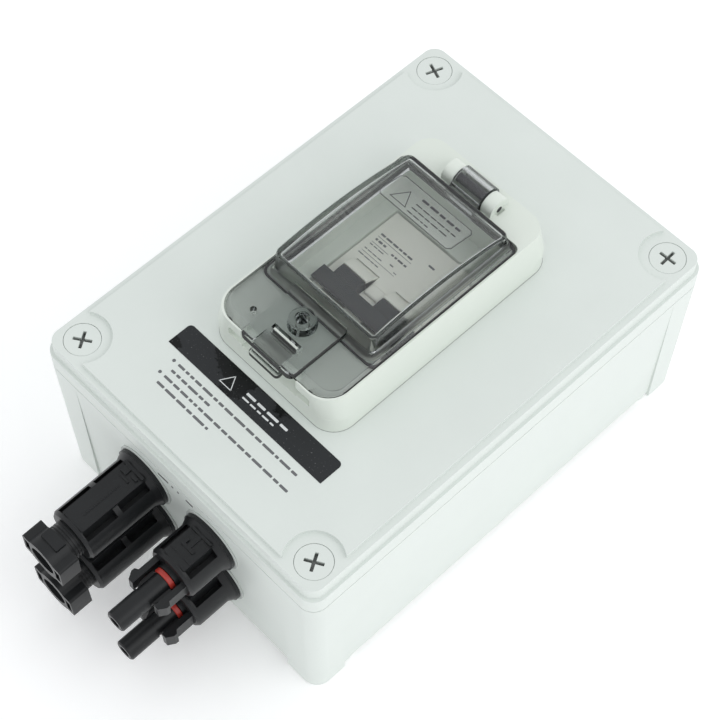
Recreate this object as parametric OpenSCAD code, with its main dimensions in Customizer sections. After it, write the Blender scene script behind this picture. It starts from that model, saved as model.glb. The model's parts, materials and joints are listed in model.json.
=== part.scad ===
// Outdoor DC combiner box for one pair of solar strings.
// A screwed plastic enclosure holds a two-pole DC breaker on a short mounting rail. A hinged
// window cover in the lid gives access to the breaker's handle, and four panel connectors
// leave through the front wall. Origin: centre of the wall-side face, +Z out through the lid.

/* [Enclosure] */
// Width across X
box_w = 125; // [123:1:130]
// Length along Y
box_l = 175; // [173:1:180]
// Height of the raised lid panel above the mounting wall
box_h = 75; // [74:1:78]
// Height of the joint between base and lid
seam_z = 61.3; // [60:0.1:62]
// Radius of the upright corners
corner_r = 5.5; // [4:0.5:7]
// Thickness of the base walls
wall_t = 3; // [2.6:0.1:3.4]
// How far a side wall leans in from the joint down to the back
wall_lean = 2.2; // [1.6:0.1:2.6]
// How far the four corner columns lean in
column_lean = 1.35; // [1:0.05:1.5]
// Height of the feet under the corner columns
foot_h = 2; // [1:0.5:3]

/* [Fasteners] */
// Distance between lid screws along X
lid_screw_dx = 106.6; // [106:0.1:107]
// Distance between lid screws along Y
lid_screw_dy = 156.2; // [156:0.1:157]
// Radius of a lid screw's head
lid_screw_head_r = 6; // [5.5:0.1:6.2]
// Distance between wall fixing holes along X
wall_hole_dx = 111; // [110:0.5:111.5]
// Distance between wall fixing holes along Y
wall_hole_dy = 142; // [141:0.5:142.5]
// Radius of a wall fixing hole
wall_hole_r = 2.25; // [2:0.05:2.6]

/* [Window frame] */
// Width of the frame where it meets the lid
frame_w = 57; // [56:0.5:58]
// Front end of the frame
frame_y0 = -47; // [-48:0.5:-46.5]
// Hinge end of the frame
frame_y1 = 50.5; // [50:0.5:52]
// Height of the frame above the lid
frame_h = 16.5; // [16:0.5:17]
// Height of the upright band at the foot of the frame
band_h = 7; // [6:0.5:8]

/* [Window cover] */
// Width of the cover's flange
cover_w = 50.8; // [50:0.2:51]
// Width of the dome
dome_w = 44.6; // [44:0.2:45.6]
// Front wall of the dome
dome_y0 = -24.9; // [-25.4:0.1:-24.4]
// Rear wall of the dome
dome_y1 = 35.1; // [34.6:0.1:35.3]
// Highest point of the arched dome
dome_top_z = 101.9; // [101:0.1:103]
// Radius of the dome's arch
arch_r = 150; // [140:5:170]
// Thickness of the cover's walls
cover_t = 1.9; // [1.6:0.1:2.2]

/* [Breaker] */
// Width of one pole
pole_w = 18; // [17.6:0.1:18]
// Middle of the breaker along Y
breaker_y = 3.15; // [2.8:0.05:3.4]
// Height of the breaker's nose
nose_z = 76.4; // [76:0.1:76.8]

/* [Connectors] */
// Distance between the two connector columns
connector_dx = 31.5; // [30:0.5:34]
// Height of the upper connectors
connector_z_high = 45.9; // [45:0.1:47]
// Height of the lower connectors
connector_z_low = 22.1; // [21:0.1:23]
// Radius of a connector barrel
barrel_r = 9.5; // [9:0.1:10]

/* [Hidden] */
$fn = 64;

box_colour = [0.87, 0.89, 0.87];
frame_colour = [0.92, 0.93, 0.91];
smoke_colour = [0.35, 0.38, 0.39, 0.55];
black_colour = [0.12, 0.12, 0.13];
case_colour = [0.8, 0.8, 0.77];
steel_colour = [0.72, 0.73, 0.75];
brass_colour = [0.8, 0.66, 0.35];
seal_colour = [0.25, 0.25, 0.26];
washer_colour = [0.72, 0.74, 0.74];
orange_red = [0.72, 0.2, 0.16];

// Small overlap that makes a cut pass cleanly through a face.
eps = 0.05;
// Sliding gap between parts that move past each other.
slide_gap = 0.05;

// Lid heights
rim_top_z = seam_z + 7.1;
border_z = box_h - 1.4;
lid_t = 2.6;
shoulder_in = 1.1;
panel_in_x = 3.4;
panel_in_y = 3.2;
panel_notch_r = 9.7;

// Sealed chamber: a cross that leaves the four corner columns outside it.
chamber_x = box_w / 2 - wall_t;
chamber_y = box_l / 2 - wall_t;
column_x = 44;
column_y = 66;
floor_z = foot_h + 3;
foot_x = 47.8;
foot_y = 73.5;
foot_pad_r = 4.6;
wall_tilt = atan(wall_lean / seam_z);

// Window frame and cover heights
lid_z = box_h;
band_z = lid_z + band_h;
frame_z = lid_z + frame_h;
deck_z = frame_z - 2;
frame_top_w = frame_w - 4.2;
well_x = 23.8;
well_y0 = dome_y0 - 0.6;
well_y1 = dome_y1 - 0.5;
well_floor_z = lid_z + 2.5;
flange_z = deck_z + 0.2;
flange_top_z = flange_z + 1.8;
plateau_z = flange_top_z + 0.9;
cover_y0 = frame_y0 + 0.9;
cover_y1 = 36;
tab_x = 11.7;
tongue_x = 6.6;
staple_y = -39.6;
boss_y = -32.5;
tab_top_z = plateau_z + 1.7;
tab_y0 = frame_y0 - 1.4;
dome_mid_y = -3;

// Hinge
hinge_y = 42.2;
hinge_z = frame_z + 0.7;
knuckle_r = 4.7;
knuckle_x = 6.2;
ear_r = 4.2;
ear_x0 = 6.6;
ear_x1 = 11;
hinge_pin_r = 1.6;

// Breaker
case_t = 1.3;
nose_l = 45.3;
nose_w = 2 * pole_w;
case_l = 82;
rail_z = nose_z - 60;
shoulder_z = nose_z - 16;
case_foot_z = rail_z - 5;
handle_y = -4;
handle_z = nose_z - 6.4;
drum_r = 10.2;
axle_r = 1.5;
terminal_z = 38;
terminal_y = 34.2;
rivet_y = 39.2;
rivet_places = [for (sy = [-1, 1]) [breaker_y + sy * rivet_y, case_foot_z + 8],
                for (sy = [-1, 1]) [breaker_y + sy * rivet_y, shoulder_z - 4.4]];

// Mounting rail, 35 mm wide and 7.5 mm high
rail_w = 35;
rail_h = 7.5;
rail_l = 60;
rail_screw_x = 22;

// Connectors, measured along their axis from the wall's outer face
flange_r = 11;
flange_back = 0.6;
socket_barrel_end = 31;
socket_front = 42.8;
nose_barrel_end = 17.2;
nose_front = 40.1;
nose_r = 3.8;
nose_tip_z = 28.6;
tail_r = 6;
tail_len = 15;
bar_x = 4.75;
bar_top = 9.35;
slot_w = 2.5;

// Cables: radii, steps along a curve, and the straight run inside a connector's tail
cable_r = 2.5;
core_r = 1.8;
steps = 7;
tail_run = [0, 5.5, 0];
tail_depth = tail_len + 0.5;

// Fastener places
wall_hole = [wall_hole_dx / 2, wall_hole_dy / 2];
lid_screw = [lid_screw_dx / 2, lid_screw_dy / 2];
frame_screw_x = 19;
frame_screw_ys = [-34.5, 43];

// ---------------------------------------------------------------- shared shapes

// Rectangle with rounded corners, built from exact lines and arcs.
module rounded_rect(w, l, r) {
    square([w, l - 2 * r], center = true);
    square([w - 2 * r, l], center = true);
    for (sx = [-1, 1], sy = [-1, 1])
        translate([sx * (w / 2 - r), sy * (l / 2 - r)]) circle(r = r);
}

// Rectangle from y0 to y1 with corner radius r0 at the front and r1 at the rear.
module end_rounded_rect(w, y0, y1, r0, r1) {
    mid = (y0 + y1) / 2;
    translate([-w / 2, y0 + r0]) square([w, y1 - y0 - r0 - r1]);
    translate([-w / 2 + r0, y0]) square([w - 2 * r0, mid - y0]);
    translate([-w / 2 + r1, mid]) square([w - 2 * r1, y1 - mid]);
    for (s = [-1, 1]) {
        translate([s * (w / 2 - r0), y0 + r0]) circle(r = r0);
        translate([s * (w / 2 - r1), y1 - r1]) circle(r = r1);
    }
}

// Upright solid of a 2D child between two heights.
module slab(z0, z1) {
    translate([0, 0, z0]) linear_extrude(z1 - z0) children();
}

// Box from one corner to the other.
module block(low, high) {
    translate(low) cube(high - low);
}

// 2D profile drawn in Y and Z, extruded along X about x = 0.
module across_x(width) {
    rotate([90, 0, 90]) translate([0, 0, -width / 2]) linear_extrude(width) children();
}

// Round bar along X about the point (y, z).
module bar_x(r, x0, x1, y, z) {
    translate([x0, y, z]) rotate([0, 90, 0]) cylinder(r = r, h = x1 - x0);
}

module at_corners(p) {
    for (sx = [-1, 1], sy = [-1, 1]) translate([sx * p[0], sy * p[1], 0]) children();
}

// Cross-shaped outline of the sealed chamber, grown outward by g.
module chamber_outline(g) {
    rounded_rect(2 * (chamber_x + g), 2 * (column_y + g), 2);
    rounded_rect(2 * (column_x + g), 2 * (chamber_y + g), 2);
}

// ---------------------------------------------------------------- enclosure

// Outer shape of the base with leaning corner columns.
module leaning_box() {
    hull() {
        slab(0, 0.1)
            rounded_rect(box_w - 2 * column_lean, box_l - 2 * column_lean, corner_r, $fn = 32);
        slab(seam_z - 0.1, seam_z) rounded_rect(box_w, box_l, corner_r, $fn = 32);
    }
}

// What the side walls lose between the columns, on the +X side of a box of half width hx.
module wall_recess(hx, half_len) {
    rotate([90, 0, 0]) translate([0, 0, -half_len]) linear_extrude(2 * half_len)
        polygon([[hx - wall_lean, -1], [hx + 2, -1], [hx + 2, seam_z], [hx, seam_z],
                 [hx - wall_lean, 0]]);
}

module chamber_cut() {
    for (part = [[chamber_x, column_y], [column_x, chamber_y]])
        hull() {
            slab(floor_z, floor_z + 0.1)
                rounded_rect(2 * (part[0] - wall_lean), 2 * (part[1] - wall_lean), 2, $fn = 32);
            slab(seam_z, seam_z + 0.1) rounded_rect(2 * part[0], 2 * part[1], 2, $fn = 32);
        }
}

// Hollow under a corner column, leaving tubes for the two screws.
module column_core() {
    translate([0, 0, -eps]) linear_extrude(48) difference() {
        translate([46.6, 68.6]) square([11.6, 14.6]);
        translate(lid_screw) circle(r = 4.6);
        translate(wall_hole) circle(r = 5.2);
    }
}

module base_box() {
    color(box_colour) difference() {
        leaning_box();
        for (s = [0, 1]) mirror([s, 0, 0]) wall_recess(box_w / 2, foot_y);
        for (s = [0, 1]) mirror([0, s, 0]) rotate([0, 0, 90]) wall_recess(box_l / 2, foot_x);
        slab(-1, foot_h) difference() {
            square([box_w + 2, 2 * foot_y], center = true);
            for (sx = [-1, 1], sy = [-1, 1])
                translate([sx * wall_hole[0], sy * wall_hole[1]]) circle(r = foot_pad_r);
        }
        slab(-1, foot_h) square([2 * foot_x, box_l + 2], center = true);
        difference() {
            chamber_cut();
            for (sx = [-1, 1]) translate([sx * rail_screw_x, breaker_y, 0])
                cylinder(r = 6, h = rail_z - rail_h);
        }
        for (sx = [0, 1], sy = [0, 1]) mirror([sx, 0, 0]) mirror([0, sy, 0]) column_core();
        at_corners(lid_screw) translate([0, 0, 36]) cylinder(r = 2.3, h = 30);
        at_corners(wall_hole) {
            translate([0, 0, -1]) cylinder(r = wall_hole_r, h = 20);
            translate([0, 0, 6]) cylinder(r = 3.6, h = 60);
        }
        for (sx = [-1, 1]) translate([sx * rail_screw_x, breaker_y, foot_h + 1])
            cylinder(r = 1.9, h = 12);
        each_connector() translate([0, 0, -8]) cylinder(r = tail_r + 0.1, h = 12);
    }
}

module panel_outline() {
    difference() {
        square([box_w - 2 * panel_in_x, box_l - 2 * panel_in_y], center = true);
        for (sx = [-1, 1], sy = [-1, 1])
            translate([sx * lid_screw[0], sy * lid_screw[1]]) circle(r = panel_notch_r);
    }
}

module lid() {
    lip_g = -0.6;
    color(box_colour) difference() {
        union() {
            slab(seam_z, rim_top_z) rounded_rect(box_w, box_l, corner_r);
            slab(rim_top_z - 1, border_z)
                rounded_rect(box_w - 2 * shoulder_in, box_l - 2 * shoulder_in, corner_r - 0.8);
            slab(border_z - 1, box_h) panel_outline();
            slab(seam_z - 2.5, seam_z + 1) chamber_outline(lip_g);
        }
        slab(seam_z - 3, box_h - lid_t) chamber_outline(lip_g - 1.8);
        slab(seam_z - eps, seam_z + 1.6) difference() {
            chamber_outline(2.2);
            chamber_outline(0.8);
        }
        slab(seam_z - 1, seam_z + 0.3) difference() {
            square([box_w + 2, box_l + 2], center = true);
            rounded_rect(box_w - 0.9, box_l - 0.9, corner_r - 0.4);
        }
        slab(box_h - 5, box_h + 1) translate([0, breaker_y])
            rounded_rect(41.2, 50.6, 2);
        for (sx = [-1, 1], y = frame_screw_ys) translate([sx * frame_screw_x, y, box_h - 5])
            cylinder(r = 1.8, h = 6);
        at_corners(lid_screw) {
            translate([0, 0, seam_z - 5]) cylinder(r = 2.7, h = 20);
            translate([0, 0, border_z - 3.6]) cylinder(r = lid_screw_head_r + 0.12, h = 10);
        }
    }
}

module lid_gasket() {
    color(seal_colour) slab(seam_z + 0.02, seam_z + 1.55) difference() {
        chamber_outline(2.15);
        chamber_outline(0.85);
    }
}

// One lid screw, drawn about its own axis, with a cross recess turned by the angle given.
module lid_screw(sx, sy, cross_angle) {
    color(box_colour) translate([sx * lid_screw[0], sy * lid_screw[1], 0]) difference() {
        union() {
            translate([0, 0, border_z - 3.5]) cylinder(r = lid_screw_head_r, h = 3.4);
            translate([0, 0, seam_z + 0.6]) cylinder(r = 2.6, h = border_z - seam_z - 3);
            translate([0, 0, 40]) cylinder(r = 2.3 - slide_gap, h = 25);
        }
        translate([0, 0, border_z - 1.9]) rotate([0, 0, cross_angle])
            for (a = [0, 90]) rotate([0, 0, a]) slab(0, 3) square([6.4, 1.1], center = true);
    }
}

module notice_label() {
    color(black_colour) slab(lid_z, lid_z + 0.15) translate([1.5, 0])
        end_rounded_rect(69.5, -59.5, -50, 0.2, 1.6);
}

// ---------------------------------------------------------------- window frame

module frame_body() {
    mid = (frame_y0 + frame_y1) / 2;
    slab(lid_z, band_z) translate([0, mid]) rounded_rect(frame_w, frame_y1 - frame_y0, 8.5);
    hull() {
        slab(band_z - 0.1, band_z) translate([0, mid])
            rounded_rect(frame_w, frame_y1 - frame_y0, 8.5, $fn = 32);
        slab(frame_z - 0.1, frame_z)
            end_rounded_rect(frame_top_w, frame_y0, frame_y1 - 1.5, 8.6, 7, $fn = 32);
    }
    slab(lid_z - 6.5, lid_z + 1) translate([0, breaker_y]) rounded_rect(40.4, 49.8, 1.8);
    for (sx = [-1, 1]) {
        x0 = sx > 0 ? ear_x0 : -ear_x1;
        bar_x(ear_r, x0, x0 + ear_x1 - ear_x0, hinge_y, hinge_z);
        block([x0, hinge_y - ear_r, frame_z - 4], [x0 + ear_x1 - ear_x0, hinge_y + ear_r, hinge_z]);
    }
}

// Hollow under the frame, leaving the bosses for its screws.
module frame_chamber(y0, y1, z1, screw_y) {
    difference() {
        slab(lid_z - 1, z1) translate([0, (y0 + y1) / 2]) rounded_rect(45, y1 - y0, 3);
        for (sx = [-1, 1]) translate([sx * frame_screw_x, screw_y, lid_z - 2])
            cylinder(r = 3.2, h = 30);
    }
}

module window_frame() {
    color(frame_colour) {
        difference() {
            frame_body();
            slab(deck_z, frame_z + 1)
                end_rounded_rect(cover_w + 0.8, cover_y0 - 0.3, cover_y1 + 0.6, 8.5, 2.4);
            slab(well_floor_z, frame_z + 1)
                end_rounded_rect(2 * well_x, well_y0, well_y1, 3, 3);
            slab(lid_z - 8, lid_z + 4) translate([0, breaker_y])
                rounded_rect(nose_w + 0.8, nose_l + 0.8, 0.8);
            frame_chamber(-42.6, -27.6, deck_z - 2, frame_screw_ys[0]);
            frame_chamber(38.6, 47.2, frame_z - 7, frame_screw_ys[1]);
            // groove for the gasket
            slab(lid_z - 1, lid_z + 0.8) frame_gasket_outline(0.05);
            // sealing hole under the cover's boss
            translate([0, boss_y, band_z]) cylinder(r = 2.4, h = 12);
            // notch and pocket for the cover's latch
            block([-tab_x - 0.6, frame_y0 - 1, band_z + 0.7],
                  [tab_x + 0.6, frame_y0 + 3.6, frame_z + 1]);
            block([-18.2, frame_y0 - 1, band_z + 1.8], [18.2, frame_y0 + 2, band_z + 5.5]);
            // pocket that the knuckle turns in
            bar_x(knuckle_r + 0.5, -ear_x0, ear_x0, hinge_y, hinge_z);
            block([-ear_x0, cover_y1, hinge_z - 3.2], [ear_x0, hinge_y, frame_z + 1]);
            bar_x(hinge_pin_r + 0.02, -ear_x1, ear_x1, hinge_y, hinge_z);
            for (s = [0, 1]) mirror([s, 0, 0])
                bar_x(1.9, ear_x1 - 1.5, ear_x1 + 1, hinge_y, hinge_z);
            for (sx = [-1, 1], y = frame_screw_ys)
                translate([sx * frame_screw_x, y, lid_z - 1]) cylinder(r = 1.5, h = 10.5);
        }
        // staple that stands in the cover's slot
        block([-5.2, staple_y - 0.5, deck_z - 0.5], [5.2, staple_y + 0.5, frame_z + 1.9]);
    }
}

// Ring that seals the frame to the lid, between the screw hollows and the edge.
module frame_gasket_outline(g) {
    mid = (frame_y0 + frame_y1) / 2;
    difference() {
        translate([0, mid]) rounded_rect(54.4 + g, frame_y1 - frame_y0 - 2.6 + g, 7);
        translate([0, mid]) rounded_rect(49.6 - g, frame_y1 - frame_y0 - 7 - g, 5);
    }
}

module frame_gasket() {
    color(seal_colour) slab(lid_z, lid_z + 0.78) frame_gasket_outline(0);
}

module frame_screws() {
    color(steel_colour) for (sx = [-1, 1], y = frame_screw_ys)
        translate([sx * frame_screw_x, y, 0]) difference() {
            union() {
                translate([0, 0, lid_z - lid_t - 2.1]) cylinder(r = 2.9, h = 2.1);
                translate([0, 0, lid_z - lid_t - 1]) cylinder(r = 1.45, h = 11);
            }
            for (a = [0, 90]) rotate([0, 0, a])
                slab(lid_z - lid_t - 3, lid_z - lid_t - 1.1) square([3.4, 0.7], center = true);
        }
}

module hinge_pin() {
    color(steel_colour) bar_x(hinge_pin_r, -ear_x1 + 1.5, ear_x1 - 1.5, hinge_y, hinge_z);
}

// ---------------------------------------------------------------- window cover

// Everything under an arch of radius r whose centre line is the dome's.
module under_arch(r) {
    bar_x(r, -30, 30, dome_mid_y, dome_top_z - arch_r, $fn = 256);
}

module dome_solid(inset) {
    intersection() {
        slab(flange_z - inset, dome_top_z + 5)
            end_rounded_rect(dome_w - 2 * inset, dome_y0 + inset, dome_y1 - inset,
                             2.4 - inset / 2, 2.4 - inset / 2);
        under_arch(arch_r - inset);
    }
}

module cover_tab() {
    across_x(2 * tab_x) polygon([
        [-24, flange_z + 0.2], [-24, tab_top_z - 0.6], [-27.5, tab_top_z],
        [tab_y0 + 0.6, tab_top_z], [tab_y0, tab_top_z - 0.6], [tab_y0, tab_top_z - 2.4],
        [frame_y0 + 1.5, flange_top_z + 0.2], [frame_y0 + 1.5, flange_z + 0.2]]);
    // latch arm with its finger lip
    block([-tongue_x, tab_y0, band_z + 2.5], [tongue_x, tab_y0 + 1.4, tab_top_z - 1]);
    slab(deck_z - 0.5, deck_z + 0.3)
        end_rounded_rect(2 * tongue_x, tab_y0 - 1.2, tab_y0 + 1.4, 1.2, 0.2);
}

module window_cover() {
    color(smoke_colour) difference() {
        union() {
            slab(flange_z, flange_top_z)
                end_rounded_rect(cover_w, cover_y0, cover_y1, 8.3, 2);
            slab(flange_z + 0.4, plateau_z)
                end_rounded_rect(dome_w - 0.2, cover_y0 + 2.6, dome_y1 + 0.4, 5.4, 2);
            slab(flange_z + 0.4, plateau_z + 0.7)
                end_rounded_rect(dome_w + 2.4, dome_y0 - 2, dome_y1 + 0.7, 3.6, 2.2);
            dome_solid(0);
            cover_tab();
            translate([0, boss_y, flange_z + 0.2])
                cylinder(r1 = 4.9, r2 = 4.4, h = tab_top_z + 3.3 - flange_z);
            bar_x(knuckle_r, -knuckle_x, knuckle_x, hinge_y, hinge_z);
            block([-knuckle_x, cover_y1 - 2, flange_z + 0.1],
                  [knuckle_x, hinge_y - 2, hinge_z + 1.4]);
        }
        dome_solid(cover_t);
        slab(flange_z - 1, flange_z + 3) end_rounded_rect(
            dome_w - 2 * cover_t, dome_y0 + cover_t, dome_y1 - cover_t, 1.5, 1.5);
        slab(flange_z - 1, flange_z + 0.6) cover_seal_outline(0.05);
        slab(flange_z - 1, plateau_z + 5) translate([0, staple_y])
            square([11.6, 1.8], center = true);
        translate([0, boss_y, flange_z - 1]) cylinder(r = 2, h = 10);
        // thumb hollow
        bar_x(10, -6.2, 6.2, staple_y - 5.4, tab_top_z + 9.3);
        translate([-15.1, -39.1, flange_z - 1]) cylinder(r = 1.1, h = 5);
        bar_x(hinge_pin_r + slide_gap, -10, 10, hinge_y, hinge_z);
    }
}

module cover_seal_outline(g) {
    difference() {
        end_rounded_rect(50 + g, dome_y0 - 2.4, dome_y1 + 0.6, 3, 2);
        end_rounded_rect(48.4 - g, dome_y0 - 1.6, dome_y1 - 0.2, 2.4, 1.6);
    }
}

module cover_seal() {
    color(seal_colour) slab(deck_z + 0.02, flange_z + 0.58) cover_seal_outline(0);
}

module cover_label() {
    color("dimgray") intersection() {
        slab(dome_top_z - 8, dome_top_z + 2)
            translate([-1.1, 20.8]) rounded_rect(31, 11, 1.2);
        difference() {
            under_arch(arch_r + 0.12);
            under_arch(arch_r);
        }
    }
}

// ---------------------------------------------------------------- breaker

// One pole: a hollow case with a raised nose, open where it sits on the rail.
module pole_case(s) {
    x0 = s > 0 ? 0 : -pole_w;
    mid_x = s * pole_w / 2;
    y0 = breaker_y - case_l / 2;
    y1 = breaker_y + case_l / 2;
    n0 = breaker_y - nose_l / 2;
    n1 = breaker_y + nose_l / 2;
    color(case_colour) difference() {
        union() {
            block([x0, y0, rail_z], [x0 + pole_w, y1, shoulder_z]);
            block([x0, n0, rail_z], [x0 + pole_w, n1, nose_z]);
            block([x0, y0, case_foot_z], [x0 + pole_w, breaker_y - rail_w / 2 - 1, rail_z + 1]);
            block([x0, breaker_y + rail_w / 2 + 1, case_foot_z], [x0 + pole_w, y1, rail_z + 1]);
            // fixed hook over the rail's rear edge
            block([mid_x - 6, breaker_y + rail_w / 2 - 1.6, case_foot_z + 1],
                  [mid_x + 6, breaker_y + rail_w / 2 + 2, rail_z - 1.2]);
        }
        // hollow of the body and the nose
        block([x0 + case_t, y0 + 1.6, rail_z + 1.6], [x0 + pole_w - case_t, y1 - 1.6,
                                                       shoulder_z - 1.6]);
        block([x0 + case_t, n0 + 1.5, shoulder_z - 3], [x0 + pole_w - case_t, n1 - 1.5,
                                                        nose_z - 3]);
        // shallow trough and slot for the handle
        block([x0 - eps, handle_y - 10.4, nose_z - 1.5], [x0 + pole_w + eps, handle_y - 3.2,
                                                          nose_z + 1]);
        bar_x(drum_r + 0.2, mid_x - 5.2, mid_x + 5.2, handle_y, handle_z);
        bar_x(axle_r + slide_gap, x0 + 0.3, x0 + pole_w - 0.3, handle_y, handle_z);
        for (sy = [-1, 1]) {
            // screwdriver hole above each terminal, and the cable entry in each end
            translate([mid_x, breaker_y + sy * terminal_y, shoulder_z - 5])
                cylinder(r = 3.6, h = 10);
            translate([mid_x, breaker_y + sy * (case_l / 2 - 5), terminal_z])
                rotate([-90 * sy, 0, 0]) cylinder(r = 4.4, h = 8);
        }
        // channel for the rail clip
        block([mid_x - 4.1, y0 - 1, case_foot_z + 1.5],
              [mid_x + 4.1, breaker_y - rail_w / 2, rail_z - 1.1]);
        for (p = rivet_places) translate([x0 - 1, p[0], p[1]]) rotate([0, 90, 0])
            cylinder(r = 1.3, h = pole_w + 2);
    }
}

module breaker_rivets() {
    color(steel_colour) for (p = rivet_places) {
        bar_x(1.3, -pole_w - 0.1, pole_w + 0.1, p[0], p[1]);
        for (sx = [-1, 1])
            bar_x(2, sx > 0 ? pole_w : -pole_w - 0.5, sx > 0 ? pole_w + 0.5 : -pole_w,
                  p[0], p[1]);
    }
}

module terminal_clamps() {
    color(brass_colour) for (sx = [-1, 1], sy = [-1, 1])
        translate([sx * pole_w / 2, breaker_y + sy * terminal_y, terminal_z]) difference() {
            block([-4.6, -3.6, -4.6], [4.6, 3.6, 7.5]);
            block([-3.4, -5, -3.4], [3.4, 5, 3.4]);
            translate([0, 0, 3]) cylinder(r = 2, h = 6);
        }
}

module terminal_screws() {
    color(steel_colour) for (sx = [-1, 1], sy = [-1, 1])
        translate([sx * pole_w / 2, breaker_y + sy * terminal_y, 0]) difference() {
            union() {
                translate([0, 0, terminal_z + 3.2]) cylinder(r = 1.95, h = 15);
                translate([0, 0, terminal_z + 16]) cylinder(r = 3.1, h = 3.2);
            }
            for (a = [0, 90]) rotate([0, 0, a])
                slab(terminal_z + 17.8, terminal_z + 20) square([4, 0.8], center = true);
        }
}

module arc_chutes() {
    color(steel_colour) for (sx = [-1, 1]) translate([sx * pole_w / 2, breaker_y - 12, 0]) {
        for (i = [0:6]) block([-6, -6, rail_z + 4 + 2.2 * i], [6, 6, rail_z + 5 + 2.2 * i]);
        for (s = [-1, 1]) block([s > 0 ? 5.5 : -6.5, -5, rail_z + 3.2],
                                [s > 0 ? 6.5 : -5.5, 5, rail_z + 19.5]);
    }
}

module trip_coils() {
    color([0.72, 0.45, 0.2]) for (sx = [-1, 1])
        translate([sx * pole_w / 2, breaker_y + 10, rail_z + 13]) rotate([-90, 0, 0]) {
            cylinder(r = 2.5, h = 14, center = true);
            for (i = [0:5]) translate([0, 0, -6 + 2.2 * i]) cylinder(r = 5, h = 1.3);
        }
}

// Handle: one drum sector in each pole, joined by a tie bar that a finger pushes.
module breaker_toggle() {
    tie = [[-7.3, 5.7], [-3, 8.6], [-3, 11], [-8.6, 11], [-9, 10.5]];
    color(black_colour) translate([0, handle_y, handle_z]) {
        across_x(2 * pole_w - 0.8) polygon(tie);
        for (sx = [-1, 1]) translate([sx * pole_w / 2, 0, 0]) {
            intersection() {
                bar_x(drum_r, -4.9, 4.9, 0, 0);
                block([-6, -3.2, 0], [6, 2, drum_r + 1]);
            }
            bar_x(axle_r, -8.5, 8.5, 0, 0);
            bar_x(3.2, -4.9, 4.9, 0, 0);
        }
    }
}

module rail_clip(s) {
    mid_x = s * pole_w / 2;
    y0 = breaker_y - case_l / 2;
    color(orange_red) difference() {
        block([mid_x - 4, y0 - 1.5, case_foot_z + 1.6],
              [mid_x + 4, breaker_y - rail_w / 2 + 1.7, rail_z - 1.2]);
        block([mid_x - 1.5, y0 - 0.5, case_foot_z], [mid_x + 1.5, y0 + 1, rail_z]);
    }
}

module din_rail() {
    half = rail_w / 2;
    rail_bed_z = rail_z - rail_h;
    color(steel_colour) difference() {
        translate([0, breaker_y, rail_bed_z]) across_x(rail_l) difference() {
            union() {
                translate([-half, rail_h - 1]) square([rail_w, 1]);
                translate([-half + 4.5, 0]) square([rail_w - 9, rail_h]);
            }
            translate([-half + 5.5, 1]) square([rail_w - 11, rail_h]);
        }
        for (sx = [-1, 1]) translate([sx * rail_screw_x, breaker_y, rail_bed_z - 1])
            cylinder(r = 2.2, h = 4);
    }
}

module din_rail_screws() {
    bed = rail_z - rail_h;
    color(steel_colour) for (sx = [-1, 1]) translate([sx * rail_screw_x, breaker_y, bed])
        difference() {
            union() {
                translate([0, 0, -5.4]) cylinder(r = 1.85, h = 7);
                translate([0, 0, 1]) cylinder(r = 3.5, h = 2.4);
            }
            for (a = [0, 90]) rotate([0, 0, a]) slab(2.2, 4) square([4, 0.8], center = true);
        }
}

// ---------------------------------------------------------------- connectors

function wall_face_y(z) = -box_l / 2 + wall_lean * (seam_z - z) / seam_z;

// Places a connector drawn along +Z from the wall's outer face, square to the leaning wall.
module place_connector(sx, z) {
    translate([sx * connector_dx / 2, wall_face_y(z), z]) rotate([90 + wall_tilt, 0, 0])
        children();
}

module each_connector(columns = [-1, 1]) {
    for (sx = columns, z = [connector_z_high, connector_z_low]) place_connector(sx, z)
        children();
}

// Threaded tail, flared flange and slotted barrel that both kinds of connector share. A flat
// bar stands between the slots on two opposite sides.
module connector_body(barrel_end, slots) {
    difference() {
        union() {
            translate([0, 0, -tail_len]) cylinder(r = tail_r, h = tail_len + 2);
            translate([0, 0, flange_back]) cylinder(r = flange_r, h = 1.4);
            translate([0, 0, flange_back + 1.4])
                cylinder(r1 = flange_r - 0.3, r2 = barrel_r, h = 2.4);
            translate([0, 0, 2]) cylinder(r = barrel_r, h = barrel_end - 3);
            translate([0, 0, barrel_end - 1]) cylinder(r1 = barrel_r, r2 = barrel_r - 0.8, h = 1);
            block([-bar_x, -bar_top, 3.6], [bar_x, bar_top, barrel_end - 1.6]);
        }
        for (side = [0, 1], sx = [0, 1], span = slots) mirror([0, side, 0]) mirror([sx, 0, 0])
            block([bar_x, 3.6, span[0]], [bar_x + slot_w, barrel_r + 1, span[1]]);
    }
}

module contact_bore(front) {
    translate([0, 0, -tail_len - 1]) cylinder(r = 3.4, h = tail_len - 3);
    translate([0, 0, -tail_len]) cylinder(r = 2.05, h = tail_len + front + 1);
}

module socket_connector(z, spin) {
    color(black_colour) place_connector(-1, z) rotate([0, 0, spin]) difference() {
        union() {
            connector_body(socket_barrel_end, [[4.2, 15.4], [17.4, 29.6]]);
            translate([0, 0, socket_barrel_end - 1]) cylinder(r = 6.2, h = 6);
            for (i = [0:3]) translate([0, 0, socket_barrel_end + 0.4 + 1.05 * i])
                cylinder(r = 6.5, h = 0.55);
            slab(35.3, 39.2) square([7.4, 16.9], center = true);
            slab(35.3, socket_front) {
                circle(r = 7.9);
                rounded_rect(18.2, 10.8, 1);
            }
        }
        translate([0, 0, 30.5]) difference() {
            cylinder(r = 5.1, h = 20);
            translate([0, 0, -1]) cylinder(r = 3, h = 11.5);
        }
        for (sx = [-1, 1]) block([sx * 7.2 - 1.1, -3.2, 37], [sx * 7.2 + 1.1, 3.2, 50]);
        contact_bore(socket_front);
    }
}

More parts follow.
